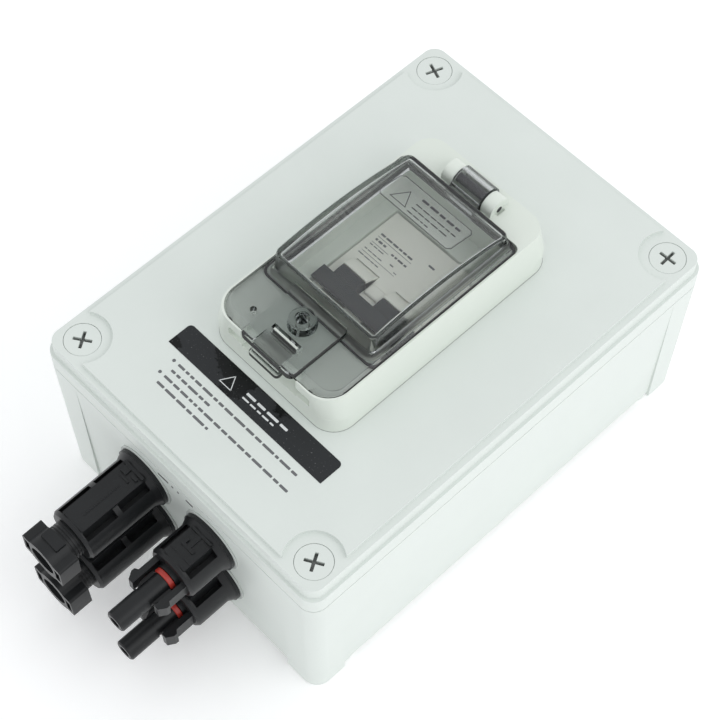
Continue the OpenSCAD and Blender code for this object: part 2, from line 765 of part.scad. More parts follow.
module nose_connector(z, spin) {
    arm = [[5, 16], [7.1, 16], [7.1, 24], [8.3, 24.8], [8.3, 26], [6.8, 28.4], [5, 28.4]];
    color(black_colour) place_connector(1, z) rotate([0, 0, spin]) difference() {
        union() {
            connector_body(nose_barrel_end, [[4.2, 15.2]]);
            translate([0, 0, nose_barrel_end - 1]) cylinder(r = 4.6, h = 2.4);
            translate([0, 0, nose_barrel_end]) cylinder(r = 3.4, h = 6);
            translate([0, 0, nose_barrel_end + 3.4]) cylinder(r = nose_r - 0.3, h = 10);
            translate([0, 0, nose_tip_z]) cylinder(r = nose_r, h = nose_front - 0.5 - nose_tip_z);
            translate([0, 0, nose_front - 0.5]) cylinder(r1 = nose_r, r2 = nose_r - 0.5, h = 0.5);
            for (sx = [0, 1]) mirror([sx, 0, 0]) rotate([90, 0, 0]) translate([0, 0, -3.2])
                linear_extrude(6.4) polygon(arm);
            for (sx = [0, 1]) mirror([sx, 0, 0]) rotate([90, 0, 0]) translate([0, 0, -1])
                linear_extrude(2) polygon([[2, 20.8], [4.6, 20.8], [4.6, 25.6], [3.2, 28.4],
                                           [2, 28.4]]);
        }
        contact_bore(nose_front);
    }
}

module nose_seals() {
    color(orange_red) each_connector([1]) translate([0, 0, nose_barrel_end + 1.45])
        difference() {
            cylinder(r = 4.25, h = 1.9);
            translate([0, 0, -1]) cylinder(r = 3.42, h = 4);
        }
}

module connector_gaskets() {
    color(washer_colour) each_connector() difference() {
        translate([0, 0, 0.02]) cylinder(r = flange_r + 0.85, h = flange_back - 0.02);
        translate([0, 0, -1]) cylinder(r = tail_r + 0.05, h = 4);
    }
}

module connector_nuts() {
    color(black_colour) each_connector() translate([0, 0, -wall_t - 5.4]) difference() {
        cylinder(r = 9, h = 5, $fn = 6);
        translate([0, 0, -1]) cylinder(r = tail_r + 0.05, h = 8);
    }
}

module socket_contacts() {
    color(brass_colour) each_connector([-1]) {
        translate([0, 0, -9.6]) cylinder(r = 1.95, h = 43.6);
        translate([0, 0, 33]) cylinder(r = 1.5, h = 7);
    }
}

module nose_contacts() {
    color(brass_colour) each_connector([1]) translate([0, 0, -9.6]) difference() {
        cylinder(r = 1.95, h = 46.6);
        translate([0, 0, 34]) cylinder(r = 1.3, h = 20);
    }
}

// ---------------------------------------------------------------- cables

// Point on a cubic curve through four control points.
function curve(p, t) = pow(1 - t, 3) * p[0] + 3 * t * pow(1 - t, 2) * p[1]
    + 3 * t * t * (1 - t) * p[2] + pow(t, 3) * p[3];

// Round cable along straight steps; the joints are a touch fuller than the steps.
module cable(points, r) {
    for (i = [0:len(points) - 2]) {
        d = points[i + 1] - points[i];
        turn = [0, acos(d[2] / norm(d)), atan2(d[1], d[0])];
        translate(points[i]) rotate(turn) {
            cylinder(r = r, h = norm(d), $fn = 32);
            if (i > 0) sphere(r = r * 1.06, $fn = 32);
        }
    }
}

// Point where a cable leaves a connector's tail.
function tail_point(sx, z) = [sx * connector_dx / 2, wall_face_y(z) + tail_depth * cos(wall_tilt),
                              z + tail_depth * sin(wall_tilt)];
function terminal_point(sx, sy) = [sx * pole_w / 2, breaker_y + sy * (case_l / 2 + 1), terminal_z];

// From a socket connector straight to the front terminal of its pole.
module input_cable(shade, sx, z) {
    a = tail_point(-1, z);
    b = terminal_point(sx, -1);
    control = [a, a + [0, 18, 0], b - [0, 16, 0], b];
    color(shade) {
        cable(concat([a - tail_run], [for (i = [0:steps]) curve(control, i / steps)]), cable_r);
        translate(b - [0, eps, 0]) rotate([-90, 0, 0]) cylinder(r = core_r, h = 9);
    }
}

// From a nose connector, past the breaker's side and back to the rear terminal of its pole.
module output_cable(shade, sx, z, side_x, loop) {
    a = tail_point(1, z);
    b = terminal_point(sx, 1);
    m = [side_x, breaker_y + 8, z - 2];
    first = [a, a + [0, 24, 0], m - [0, 40, 0], m];
    second = [m, m + [0, 50, 0], b + loop, b];
    color(shade) {
        cable(concat([a - tail_run], [for (i = [0:4]) curve(first, i / 4)],
                     [for (i = [1:steps]) curve(second, i / steps)]), cable_r);
        translate(b + [0, eps, 0]) rotate([90, 0, 0]) cylinder(r = core_r, h = 9);
    }
}

// ---------------------------------------------------------------- nodes

base_box();
din_rail();
din_rail_screws();
pole_case(-1);  // left_pole_case
pole_case(1);  // right_pole_case
breaker_rivets();
terminal_clamps();
terminal_screws();
arc_chutes();
trip_coils();
socket_connector(connector_z_high, -4);  // socket_connector_upper
socket_connector(connector_z_low, 0);  // socket_connector_lower
nose_connector(connector_z_high, -5);  // nose_connector_upper
nose_connector(connector_z_low, 0);  // nose_connector_lower
connector_gaskets();
connector_nuts();
nose_seals();
socket_contacts();
nose_contacts();
input_cable("red", -1, connector_z_high);  // positive_input_cable
input_cable("black", 1, connector_z_low);  // negative_input_cable
output_cable("red", -1, connector_z_high, 34, [0, 42, 22]);  // positive_output_cable
output_cable("black", 1, connector_z_low, 30, [0, 24, -10]);  // negative_output_cable
lid();
lid_gasket();
window_frame();
frame_gasket();
frame_screws();
hinge_pin();
notice_label();
lid_screw(-1, -1, 34);  // lid_screw_front_left
lid_screw(1, -1, 30);  // lid_screw_front_right
lid_screw(-1, 1, 70);  // lid_screw_rear_left
lid_screw(1, 1, 2);  // lid_screw_rear_right
window_cover();
cover_seal();
cover_label();
breaker_toggle();
rail_clip(-1);  // left_rail_clip
rail_clip(1);  // right_rail_clip
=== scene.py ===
"""Looks of the DC combiner box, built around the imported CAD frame."""

import json
import math
import random

import bmesh
import bpy
from mathutils import Matrix, Vector


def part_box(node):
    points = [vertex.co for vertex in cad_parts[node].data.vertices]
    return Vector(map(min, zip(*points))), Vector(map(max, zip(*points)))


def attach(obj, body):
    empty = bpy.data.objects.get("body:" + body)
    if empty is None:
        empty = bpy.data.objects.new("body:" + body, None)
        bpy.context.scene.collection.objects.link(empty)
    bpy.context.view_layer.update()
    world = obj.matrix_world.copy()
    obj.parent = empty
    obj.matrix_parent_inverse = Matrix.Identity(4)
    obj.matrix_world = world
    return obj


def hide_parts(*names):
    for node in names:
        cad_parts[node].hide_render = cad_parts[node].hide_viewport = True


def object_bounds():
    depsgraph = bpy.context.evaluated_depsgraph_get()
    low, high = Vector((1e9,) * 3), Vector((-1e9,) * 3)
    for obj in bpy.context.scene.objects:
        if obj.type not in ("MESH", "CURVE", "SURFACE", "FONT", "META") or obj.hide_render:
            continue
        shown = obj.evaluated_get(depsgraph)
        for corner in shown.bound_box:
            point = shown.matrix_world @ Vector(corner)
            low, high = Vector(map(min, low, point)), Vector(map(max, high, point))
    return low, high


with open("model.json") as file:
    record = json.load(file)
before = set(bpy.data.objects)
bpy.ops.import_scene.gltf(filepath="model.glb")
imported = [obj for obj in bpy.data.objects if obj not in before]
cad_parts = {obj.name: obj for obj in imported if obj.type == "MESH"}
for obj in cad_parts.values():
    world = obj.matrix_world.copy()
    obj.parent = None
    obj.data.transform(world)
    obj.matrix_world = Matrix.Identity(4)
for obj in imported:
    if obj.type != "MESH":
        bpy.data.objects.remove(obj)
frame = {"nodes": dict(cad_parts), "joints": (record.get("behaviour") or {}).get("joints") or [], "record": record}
cad_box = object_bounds()
nodes = frame["nodes"]
MM = 0.001
# a colour mix node's sockets, which share their names, by number
MIX_FACTOR, MIX_A, MIX_B, MIX_RESULT = 0, 6, 7, 2
GRAIN_DEPTH_MM = 0.03
# vertices closer than this are one: in pieces made here, and in shaded or CAD meshes
MERGE_M, WELD_M = 1e-6, 2e-6


# ---------------------------------------------------------------- materials

def new_material(name):
    """A node material and its shader node."""
    material = bpy.data.materials.new(name)
    material.use_nodes = True
    return material, material.node_tree.nodes["Principled BSDF"]


def link(material, source, target):
    material.node_tree.links.new(source, target)


def add_node(material, kind, **values):
    """A shader node with its input values or properties set."""
    node = material.node_tree.nodes.new(kind)
    for key, value in values.items():
        if key in node.inputs:
            node.inputs[key].default_value = value
        else:
            setattr(node, key, value)
    return node


def remap(material, source, low, high, to_low=0.0, to_high=1.0):
    """The source value taken from low..high to to_low..to_high."""
    node = add_node(material, "ShaderNodeMapRange")
    for key, value in (("From Min", low), ("From Max", high), ("To Min", to_low),
                       ("To Max", to_high)):
        node.inputs[key].default_value = value
    link(material, source, node.inputs["Value"])
    return node.outputs["Result"]


def colour_mix(material, low, high, factor, blend_type="MIX"):
    """A colour node between two values, each a colour or a socket; factor is one too."""
    node = add_node(material, "ShaderNodeMix", data_type="RGBA", blend_type=blend_type)
    for slot, value in ((MIX_FACTOR, factor), (MIX_A, low), (MIX_B, high)):
        if isinstance(value, bpy.types.NodeSocket):
            link(material, value, node.inputs[slot])
        elif slot == MIX_FACTOR:
            node.inputs[slot].default_value = value
        else:
            node.inputs[slot].default_value = (*value, 1)
    return node.outputs[MIX_RESULT]


def grain(material, shader, size_mm, strength):
    """Fine moulded grain, as a bump in object space."""
    place = add_node(material, "ShaderNodeTexCoord")
    noise = add_node(material, "ShaderNodeTexNoise", Scale=1000 / size_mm, Detail=3.0)
    bump = add_node(material, "ShaderNodeBump", Strength=strength,
                    Distance=GRAIN_DEPTH_MM * MM)
    link(material, place.outputs["Object"], noise.inputs["Vector"])
    link(material, noise.outputs["Fac"], bump.inputs["Height"])
    link(material, bump.outputs["Normal"], shader.inputs["Normal"])
    return place


def vary(material, shader, place, colour, spread, size_mm, roughness, rough_spread, recess_shade_heights=None):
    """Slow drift of colour and roughness over the surface.

    The last argument, when given, is a pair of heights in mm: painted shade darkens the colour from the upper to
    the lower one, as down a recess.
    """
    noise = add_node(material, "ShaderNodeTexNoise", Scale=1000 / size_mm, Detail=4.0)
    link(material, place.outputs["Object"], noise.inputs["Vector"])
    low = [c * (1 - spread) for c in colour]
    high = [min(1.0, c * (1 + spread)) for c in colour]
    tint = colour_mix(material, low, high, noise.outputs["Fac"])
    if recess_shade_heights:
        split = add_node(material, "ShaderNodeSeparateXYZ")
        link(material, place.outputs["Object"], split.inputs[0])
        recess_shade = remap(material, split.outputs["Z"], recess_shade_heights[0] * MM, recess_shade_heights[1] * MM, 0.2)
        tint = colour_mix(material, tint, recess_shade, 1.0, "MULTIPLY")
    link(material, tint, shader.inputs["Base Color"])
    rough = remap(material, noise.outputs["Fac"], 0, 1, roughness - rough_spread,
                  roughness + rough_spread)
    link(material, rough, shader.inputs["Roughness"])


def plastic(name, colour, roughness, grain_mm=0.25, grain_strength=0.25, spread=0.03,
            specular=0.5, recess_shade_heights=None):
    """Opaque moulded plastic or rubber."""
    material, shader = new_material(name)
    place = grain(material, shader, grain_mm, grain_strength)
    vary(material, shader, place, colour, spread, size_mm=18, roughness=roughness,
         rough_spread=0.05, recess_shade_heights=recess_shade_heights)
    shader.inputs["Specular IOR Level"].default_value = specular
    return material


def film(name, colour, wet_colour):
    """Dark printed film with irregular darker, glossier patches and fine pale dust."""
    material, shader = new_material(name)
    place = grain(material, shader, size_mm=0.6, strength=0.1)
    patch = add_node(material, "ShaderNodeTexNoise", Scale=55.0, Detail=6.0, Roughness=0.6)
    dust = add_node(material, "ShaderNodeTexNoise", Scale=1800.0, Detail=2.0)
    for noise in (patch, dust):
        link(material, place.outputs["Object"], noise.inputs["Vector"])
    patch_edge = remap(material, patch.outputs["Fac"], 0.53, 0.56)
    speck = remap(material, dust.outputs["Fac"], 0.68, 0.78, 0, 0.5)
    tint = colour_mix(material, colour, wet_colour, patch_edge)
    dusty = colour_mix(material, tint, (0.3, 0.3, 0.3), speck)
    link(material, dusty, shader.inputs["Base Color"])
    link(material, remap(material, patch_edge, 0, 1, 0.45, 0.2), shader.inputs["Roughness"])
    shader.inputs["Specular IOR Level"].default_value = 0.15
    return material


def metal(name, colour, roughness):
    material, shader = new_material(name)
    place = grain(material, shader, size_mm=0.4, strength=0.2)
    vary(material, shader, place, colour, spread=0.06, size_mm=6, roughness=roughness,
         rough_spread=0.06)
    shader.inputs["Metallic"].default_value = 1.0
    return material


def smoked(name, tint, absorption, roughness=0.02, shaded=False):
    """Smoked clear plastic: it refracts, darkens with thickness and lets light through below.

    When switched on, the mesh's "shade" attribute holds painted shade and light: it dims and dulls the surface
    place by place, and its darkest places turn solid.
    """
    material, shader = new_material(name)
    shader.inputs["Base Color"].default_value = (1, 1, 1, 1)
    shader.inputs["Roughness"].default_value = roughness
    shader.inputs["IOR"].default_value = 1.49
    shader.inputs["Transmission Weight"].default_value = 1.0
    if shaded:
        # painted shade and light from the mesh's "shade" attribute: darker base colour, duller surface, solid
        # where darkest
        painted_shade_value = add_node(material, "ShaderNodeAttribute", attribute_name="shade")
        level = painted_shade_value.outputs["Fac"]
        link(material, painted_shade_value.outputs["Color"], shader.inputs["Base Color"])
        link(material, remap(material, level, 0.3, 1, 0.45, roughness),
             shader.inputs["Roughness"])
        link(material, remap(material, level, 0.04, 0.12), shader.inputs["Transmission Weight"])
    clear = add_node(material, "ShaderNodeBsdfTransparent", Color=(0.97, 0.97, 0.97, 1))
    path = add_node(material, "ShaderNodeLightPath")
    mix = add_node(material, "ShaderNodeMixShader")
    output = material.node_tree.nodes["Material Output"]
    link(material, path.outputs["Is Shadow Ray"], mix.inputs[0])
    link(material, shader.outputs["BSDF"], mix.inputs[1])
    link(material, clear.outputs["BSDF"], mix.inputs[2])
    link(material, mix.outputs["Shader"], output.inputs["Surface"])
    volume = add_node(material, "ShaderNodeVolumeAbsorption", Color=(*tint, 1),
                      Density=absorption)
    link(material, volume.outputs["Volume"], output.inputs["Volume"])
    return material


MATERIALS = {
    "enclosure_plastic": plastic("box_abs", (0.72, 0.765, 0.73), 0.42),
    "frame_plastic": plastic("frame_abs", (0.735, 0.785, 0.72), 0.3),
    "breaker_plastic": plastic("breaker_case", (0.92, 0.93, 0.85), 0.45),
    "zinc_steel": metal("zinc", (0.62, 0.63, 0.65), 0.32),
    "brass": metal("brass", (0.78, 0.58, 0.28), 0.28),
    "copper": metal("copper_wire", (0.72, 0.36, 0.16), 0.3),
    "connector_plastic": plastic("connector_pa", (0.013, 0.014, 0.015), 0.36, 0.5, 0.5, 0.25,
                                 specular=0.28),
    "handle_plastic": plastic("handle_pa", (0.03, 0.034, 0.037), 0.4, specular=0.3),
    "flange_washer": plastic("washer_rubber", (0.5, 0.53, 0.51), 0.5),
    "red_seal": plastic("seal_silicone", (0.42, 0.035, 0.025), 0.4),
    "dark_seal": plastic("seal_foam", (0.05, 0.05, 0.055), 0.8, 0.5, 0.5),
    "notice_film": film("notice_film", (0.03, 0.032, 0.034), (0.009, 0.01, 0.01)),
    "clear_film": smoked("cover_film", (0.5, 0.5, 0.5), 50.0, 0.1),
    "smoked_window": smoked("smoked_pc", (0.42, 0.47, 0.46), 150.0, shaded=True),
    "clip_plastic": plastic("clip_pa", (0.45, 0.05, 0.03), 0.45),
    "red_jacket": plastic("red_jacket", (0.4, 0.03, 0.03), 0.45),
    "black_jacket": plastic("black_jacket", (0.03, 0.03, 0.03), 0.45),
}
print_black = plastic("print_black", (0.06, 0.06, 0.065), 0.6, 0.3, 0.1)
print_grey = plastic("print_grey", (0.14, 0.145, 0.15), 0.6, 0.3, 0.1)
print_white = plastic("print_white", (0.75, 0.77, 0.77), 0.5, 0.3, 0.1)
# painted contact shadow where the window frame meets the lid
painted_contact_shadow = plastic("painted_contact_shadow", (0.3, 0.32, 0.31), 0.7, 0.3, 0.1)
pin_steel = metal("pin_steel", (0.1, 0.1, 0.11), 0.45)
# painted shade: the lid screws darken down into their cross recess
SCREW_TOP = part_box("lid_screw_front_left")[1].z / MM
RECESS_FROM, RECESS_TO = 0.3, 1.8
screw_plastic_recess_shaded = plastic("screw_abs_recess_shade", (0.72, 0.765, 0.73), 0.42,
                        recess_shade_heights=(SCREW_TOP - RECESS_TO, SCREW_TOP - RECESS_FROM))


# ---------------------------------------------------------------- CAD nodes

FLAT_DEG, BEVEL_DEG = 0.4, 28


def soften(name, width_mm):
    """Rounds a CAD node's edges with modifiers; its own mesh keeps its shape."""
    obj = nodes[name]
    if "custom_normal" in obj.data.attributes:
        obj.data.attributes.remove(obj.data.attributes["custom_normal"])
    for polygon in obj.data.polygons:
        polygon.use_smooth = True
    weld = obj.modifiers.new("weld", "WELD")
    weld.merge_threshold = WELD_M
    flat = obj.modifiers.new("flat", "DECIMATE")
    flat.decimate_type = "DISSOLVE"
    flat.angle_limit = math.radians(FLAT_DEG)
    bevel = obj.modifiers.new("bevel", "BEVEL")
    bevel.width = width_mm * MM
    bevel.segments = 3
    bevel.limit_method = "ANGLE"
    bevel.angle_limit = math.radians(BEVEL_DEG)
    bevel.harden_normals = True
    bevel.use_clamp_overlap = True
    bevel.miter_outer = "MITER_ARC"


SMALL_ROUNDING_MM = 0.12
ROUNDING_MM = {
    "base_box": 0.5, "lid": 0.6, "window_frame": 0.7, "window_cover": 0.35,
    "left_pole_case": 0.3, "right_pole_case": 0.3, "breaker_toggle": 0.9,
    "socket_connector_upper": 0.25, "socket_connector_lower": 0.25,
    "nose_connector_upper": 0.25, "nose_connector_lower": 0.25,
    "nose_seals": 0.5, "connector_gaskets": 0.2, "hinge_pin": 0.2,
    "lid_screw_front_left": 0.25, "lid_screw_front_right": 0.25,
    "lid_screw_rear_left": 0.25, "lid_screw_rear_right": 0.25,
}

slot_of = {row["node"]: row["material_slot"] for row in frame["record"]["subparts"]}
for name, obj in nodes.items():
    obj.data.materials.clear()
    obj.data.materials.append(MATERIALS[slot_of[name]])
    soften(name, ROUNDING_MM.get(name, SMALL_ROUNDING_MM))
    if name.startswith("lid_screw"):
        obj.data.materials[0] = screw_plastic_recess_shaded
nodes["hinge_pin"].data.materials[0] = pin_steel


# ---------------------------------------------------------------- flat marks

rng = random.Random(7)


def make_mesh(name, vertices, faces, material, body):
    """A new piece in millimetres that rides on a CAD body."""
    mesh = bpy.data.meshes.new(name)
    mesh.from_pydata([Vector(v) * MM for v in vertices], [], faces)
    mesh.materials.append(material)
    obj = bpy.data.objects.new(name, mesh)
    bpy.context.scene.collection.objects.link(obj)
    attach(obj, body)


def prism(points, z0, z1):
    """Vertices and faces of an upright prism over 2D points."""
    n = len(points)
    vertices = [(x, y, z0) for x, y in points] + [(x, y, z1) for x, y in points]
    faces = [tuple(reversed(range(n))), tuple(range(n, 2 * n))]
    faces += [(i, (i + 1) % n, n + (i + 1) % n, n + i) for i in range(n)]
    return vertices, faces


def joined(parts):
    """One vertex and face list from several."""
    vertices, faces = [], []
    for v, f in parts:
        start = len(vertices)
        vertices += v
        faces += [tuple(i + start for i in face) for face in f]
    return vertices, faces


def bar(x0, y0, x1, y1, z0, z1, r=0.0):
    """Prism over a rectangle with rounded corners."""
    r = min(r, (x1 - x0) / 2, (y1 - y0) / 2)
    if r <= 0:
        return prism([(x0, y0), (x1, y0), (x1, y1), (x0, y1)], z0, z1)
    points = []
    for cx, cy, start in ((x1 - r, y1 - r, 0), (x0 + r, y1 - r, 90), (x0 + r, y0 + r, 180),
                          (x1 - r, y0 + r, 270)):
        for step in range(5):
            a = math.radians(start + 22.5 * step)
            points.append((cx + r * math.cos(a), cy + r * math.sin(a)))
    return prism(points, z0, z1)


def disc(x, y, r, z0, z1):
    return prism([(x + r * math.cos(a * math.pi / 8), y + r * math.sin(a * math.pi / 8))
                  for a in range(16)], z0, z1)


def words(x0, x1, y, height, z0, z1, word, gap):
    """A row of plain rounded bars with no lettering; word is their shortest and longest."""
    parts = []
    x = x0
    while x < x1 - 1.0:
        end = min(x1, x + rng.uniform(*word))
        parts.append(bar(x, y - height / 2, end, y + height / 2, z0, z1, height * 0.3))
        x = end + gap
    return parts


def stroke_loop(points, width, z0, z1):
    """Closed thin line through 2D points, as one prism per side."""
    parts = []
    n = len(points)
    for i in range(n):
        a, b = Vector(points[i]), Vector(points[(i + 1) % n])
        along = (b - a).normalized() * width / 2
        side = Vector((-along.y, along.x))
        a, b = a - along, b + along
        parts.append(prism([tuple(a - side), tuple(b - side), tuple(b + side),
                            tuple(a + side)], z0, z1))
    return parts


# ---------------------------------------------------------------- shape tools

CORNER_STEPS = 8
SIDE_STEPS = 24
# a lathe profile's inner end, so that it closes close to the axis
AXIS_R = 0.01


def outline(half, y0, y1, r0, r1):
    """Rounded rectangle as 2D points: half width, front and rear ends, front and rear radii.

    The sides along Y are divided, so that they can follow an arch.
    """
    points = []
    for cx, cy, r, start in ((half - r1, y1 - r1, r1, 0), (-half + r1, y1 - r1, r1, 90),
                             (-half + r0, y0 + r0, r0, 180), (half - r0, y0 + r0, r0, 270)):
        for step in range(CORNER_STEPS + 1):
            a = math.radians(start + 90 * step / CORNER_STEPS)
            points.append((cx + r * math.cos(a), cy + r * math.sin(a)))
        if start in (90, 270):
            side = -half if start == 90 else half
            rear, front = y1 - r1, y0 + r0
            for step in range(1, SIDE_STEPS):
                t = step / SIDE_STEPS
                y = rear + (front - rear) * (t if start == 90 else 1 - t)
                points.append((side, y))
    return points


def ring(half, y0, y1, r0, r1, height):
    """An outline lifted to a height, which is a number or a function of y."""
    lift = height if callable(height) else (lambda y: height)
    return [(x, y, lift(y)) for x, y in outline(half, y0, y1, r0, r1)]


def loft(rings, close_start=True, close_end=True):
    """Skin through rings with the same number of points."""
    n = len(rings[0])
    vertices = [p for one in rings for p in one]
    faces = []
    for k in range(len(rings) - 1):
        a, b = k * n, (k + 1) * n
        faces += [(a + i, a + (i + 1) % n, b + (i + 1) % n, b + i) for i in range(n)]
    if close_start:
        faces.append(tuple(reversed(range(n))))
    if close_end:
        last = (len(rings) - 1) * n
        faces.append(tuple(range(last, last + n)))
    return vertices, faces


def solid(name, parts, material=None):
    """A mesh object in millimetres from vertex and face lists, with its doubles merged."""
    vertices, faces = joined(parts) if isinstance(parts, list) else parts
    mesh = bpy.data.meshes.new(name)
    work = bmesh.new()
    made = [work.verts.new(Vector(v) * MM) for v in vertices]
    for face in faces:
        work.faces.new([made[i] for i in face])
    bmesh.ops.remove_doubles(work, verts=work.verts, dist=MERGE_M)
    bmesh.ops.recalc_face_normals(work, faces=work.faces)
    if work.calc_volume(signed=True) < 0:
        bmesh.ops.reverse_faces(work, faces=work.faces)
    work.to_mesh(mesh)
    work.free()
    if material:
        mesh.materials.append(material)
    obj = bpy.data.objects.new(name, mesh)
    bpy.context.scene.collection.objects.link(obj)
    return obj


def lathe(profile, steps=48):
    """Closed solid of revolution about Z from (radius, height) points of its closed profile."""
    rings = []
    for r, z in profile:
        rings.append([(r * math.cos(2 * math.pi * i / steps),
                       r * math.sin(2 * math.pi * i / steps), z) for i in range(steps)])
    return loft(rings + [rings[0]], False, False)


def moved(part, x, y):
    vertices, faces = part
    return [(a + x, b + y, c) for a, b, c in vertices], faces


def along_x(profile, x0, x1):
    """Prism along X over a profile of (y, z) points."""
    n = len(profile)
    vertices = [(x0, y, z) for y, z in profile] + [(x1, y, z) for y, z in profile]
    faces = [tuple(range(n)), tuple(reversed(range(n, 2 * n)))]
    faces += [(i, n + i, n + (i + 1) % n, (i + 1) % n) for i in range(n)]
    return vertices, faces


def arc(cy, cz, r, start, end, steps):
    """(y, z) points on an arc, angles in degrees from +Y towards +Z."""
    return [(cy + r * math.cos(math.radians(start + (end - start) * i / steps)),
             cz + r * math.sin(math.radians(start + (end - start) * i / steps)))
            for i in range(steps + 1)]


def combine(target, tool_parts, operation):
    """Boolean of target with a tool, applied to target's mesh."""
    tool = solid("tool", tool_parts)
    change = target.modifiers.new("cut", "BOOLEAN")
    change.operation = operation
    change.solver = "EXACT"
    change.object = tool
    bpy.context.view_layer.update()
    evaluated = target.evaluated_get(bpy.context.evaluated_depsgraph_get())
    mesh = bpy.data.meshes.new_from_object(evaluated)
    target.modifiers.clear()
    old = target.data
    target.data = mesh
    bpy.data.meshes.remove(old)
    bpy.data.objects.remove(tool)


def shade(obj, sharp_deg):
    """Smooth shading with edges sharper than an angle kept crisp."""
    work = bmesh.new()
    work.from_mesh(obj.data)
    bmesh.ops.remove_doubles(work, verts=work.verts, dist=WELD_M)
    limit = math.radians(sharp_deg)
    for face in work.faces:
        face.smooth = True
    for edge in work.edges:
        edge.smooth = len(edge.link_faces) == 2 and edge.calc_face_angle(0) < limit
    work.to_mesh(obj.data)
    work.free()


def rounded_block(half, y0, y1, r0, r1, z0, z1, edge):
    """Upright block over a rounded rectangle with rounded top and bottom edges."""
    curve = []
    for k in range(4):
        a = math.radians(30 * k)
        curve.append((edge * (1 - math.sin(a)), edge * (1 - math.cos(a))))
    levels = [(d, z0 + rise) for d, rise in curve]
    levels += [(d, z1 - rise) for d, rise in reversed(curve)]
    return loft([ring(half - d, y0 + d, y1 - d, max(r0 - d, 0.05), max(r1 - d, 0.05), z)
                 for d, z in levels])


# ---------------------------------------------------------------- window cover

# Sizes are in mm. X is across and Y along the box, with the hinge at the high end of Y.
joint_place = {joint["name"]: [c / MM for c in joint["pos_m"]] for joint in frame["joints"]
               if "pos_m" in joint}
HINGE_Y, HINGE_Z = joint_place["cover_hinge"][1:]
AXLE_Y, AXLE_Z = joint_place["toggle_pivot"][1:]
CREST_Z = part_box("window_cover")[1].z / MM

# flange: underside, raised middle and outline
FLANGE_Z = 89.7
RIM_TOP_Z = FLANGE_Z + 1.6
PLATEAU_Z = FLANGE_Z + 2.7
STEP_Z = PLATEAU_Z - 0.3
FLANGE_HALF, FLANGE_Y0, FLANGE_Y1 = 25.4, -46.1, 36.0
RIM_EDGE = 0.2
# dome: half width, ends, arched top, wall, outer and inner edge radii
DOME_HALF, DOME_Y0, DOME_Y1 = 22.3, -24.9, 35.1
ARCH_R, ARCH_Y = 150.0, -3.0
WALL = 1.5
EDGE_R, INNER_R = 0.7, 0.5
FRONT_LEAN = 0.8
# the foot that spreads from the dome's walls onto the flange
FOOT_RISE, FOOT_FRONT, FOOT_SIDE, FOOT_REAR = 2.0, 3.0, 1.4, 0.65
FOOT_STEPS = 12
# tab with its lip, key boss, slot and pin hole
TAB_Z = PLATEAU_Z + 1.7
TAB_HALF, TAB_Y0, TAB_Y1 = 11.7, -48.4, DOME_Y0 + 0.3
LIP_Z = 89.8
LIP_HALF, LIP_Y0, LIP_Y1, LIP_THICK = 6.6, -49.6, -47.0, 1.6
BOSS_Y = -32.5
SLOT_HALF, SLOT_Y0, SLOT_Y1 = 5.9, -40.1, -38.3
PIN_HOLE_X, PIN_HOLE_Y = -15.1, -39.1
# catch, thumb hollow and hinge hook share one half width
CATCH_HALF = 6.2
CATCH_TOP_Z, CATCH_Y0, CATCH_Y1 = 92.6, -48.3, -47.0
HOLLOW_Y, HOLLOW_R, HOLLOW_RISE = -45.0, 10.0, 9.3
HOOK_R, HOOK_INNER_R, HOOK_FROM, HOOK_TO, HOOK_STEPS = 4.9, 3.0, 168, -50, 22
# cuts start below the cover
CUT_Z = 88.0


def arch(y, drop=0.0):
    """Height of the dome's arched top, or of a surface dropped below it."""
    r = ARCH_R - drop
    return CREST_Z - ARCH_R + math.sqrt(r * r - (y - ARCH_Y) ** 2)


def dome_ring(inset, height, drop, lean=0.0):
    """A ring round the dome, moved in by inset; lean moves the front edge in as well.

    With no height given, the ring follows the arch, dropped below it.
    """
    r = max(2.6 - inset, 0.7)
    lift = height if height is not None else (lambda y: arch(y, drop))
    return ring(DOME_HALF - inset, DOME_Y0 + inset + lean, DOME_Y1 - inset, r, r, lift)


def dome_strips(inset, drop):
    """Rings that cover the arched top from its middle line out, inset from the walls."""
    rings = []
    for part in (0.0, 0.3, 0.6, 0.85, 1.0):
        half = (DOME_HALF - inset) * part
        r = min(0.7, half)
        rings.append(ring(half, DOME_Y0 + inset + FRONT_LEAN, DOME_Y1 - inset, r, r,
                          lambda y: arch(y, drop)))
    return rings


def flange_ring(inset, height, front_r, rear_r):
    """A ring round the flange's rim, moved in by inset."""
    return ring(FLANGE_HALF - inset, FLANGE_Y0 + inset, FLANGE_Y1 - inset, front_r, rear_r,
                height)


def foot_curve():
    """(way out from the wall as a share, rise in mm) up the foot's rounded profile."""
    for k in range(FOOT_STEPS + 1):
        a = math.radians(90 * k / FOOT_STEPS)
        yield 1 - math.sin(a), FOOT_RISE * (1 - math.cos(a))


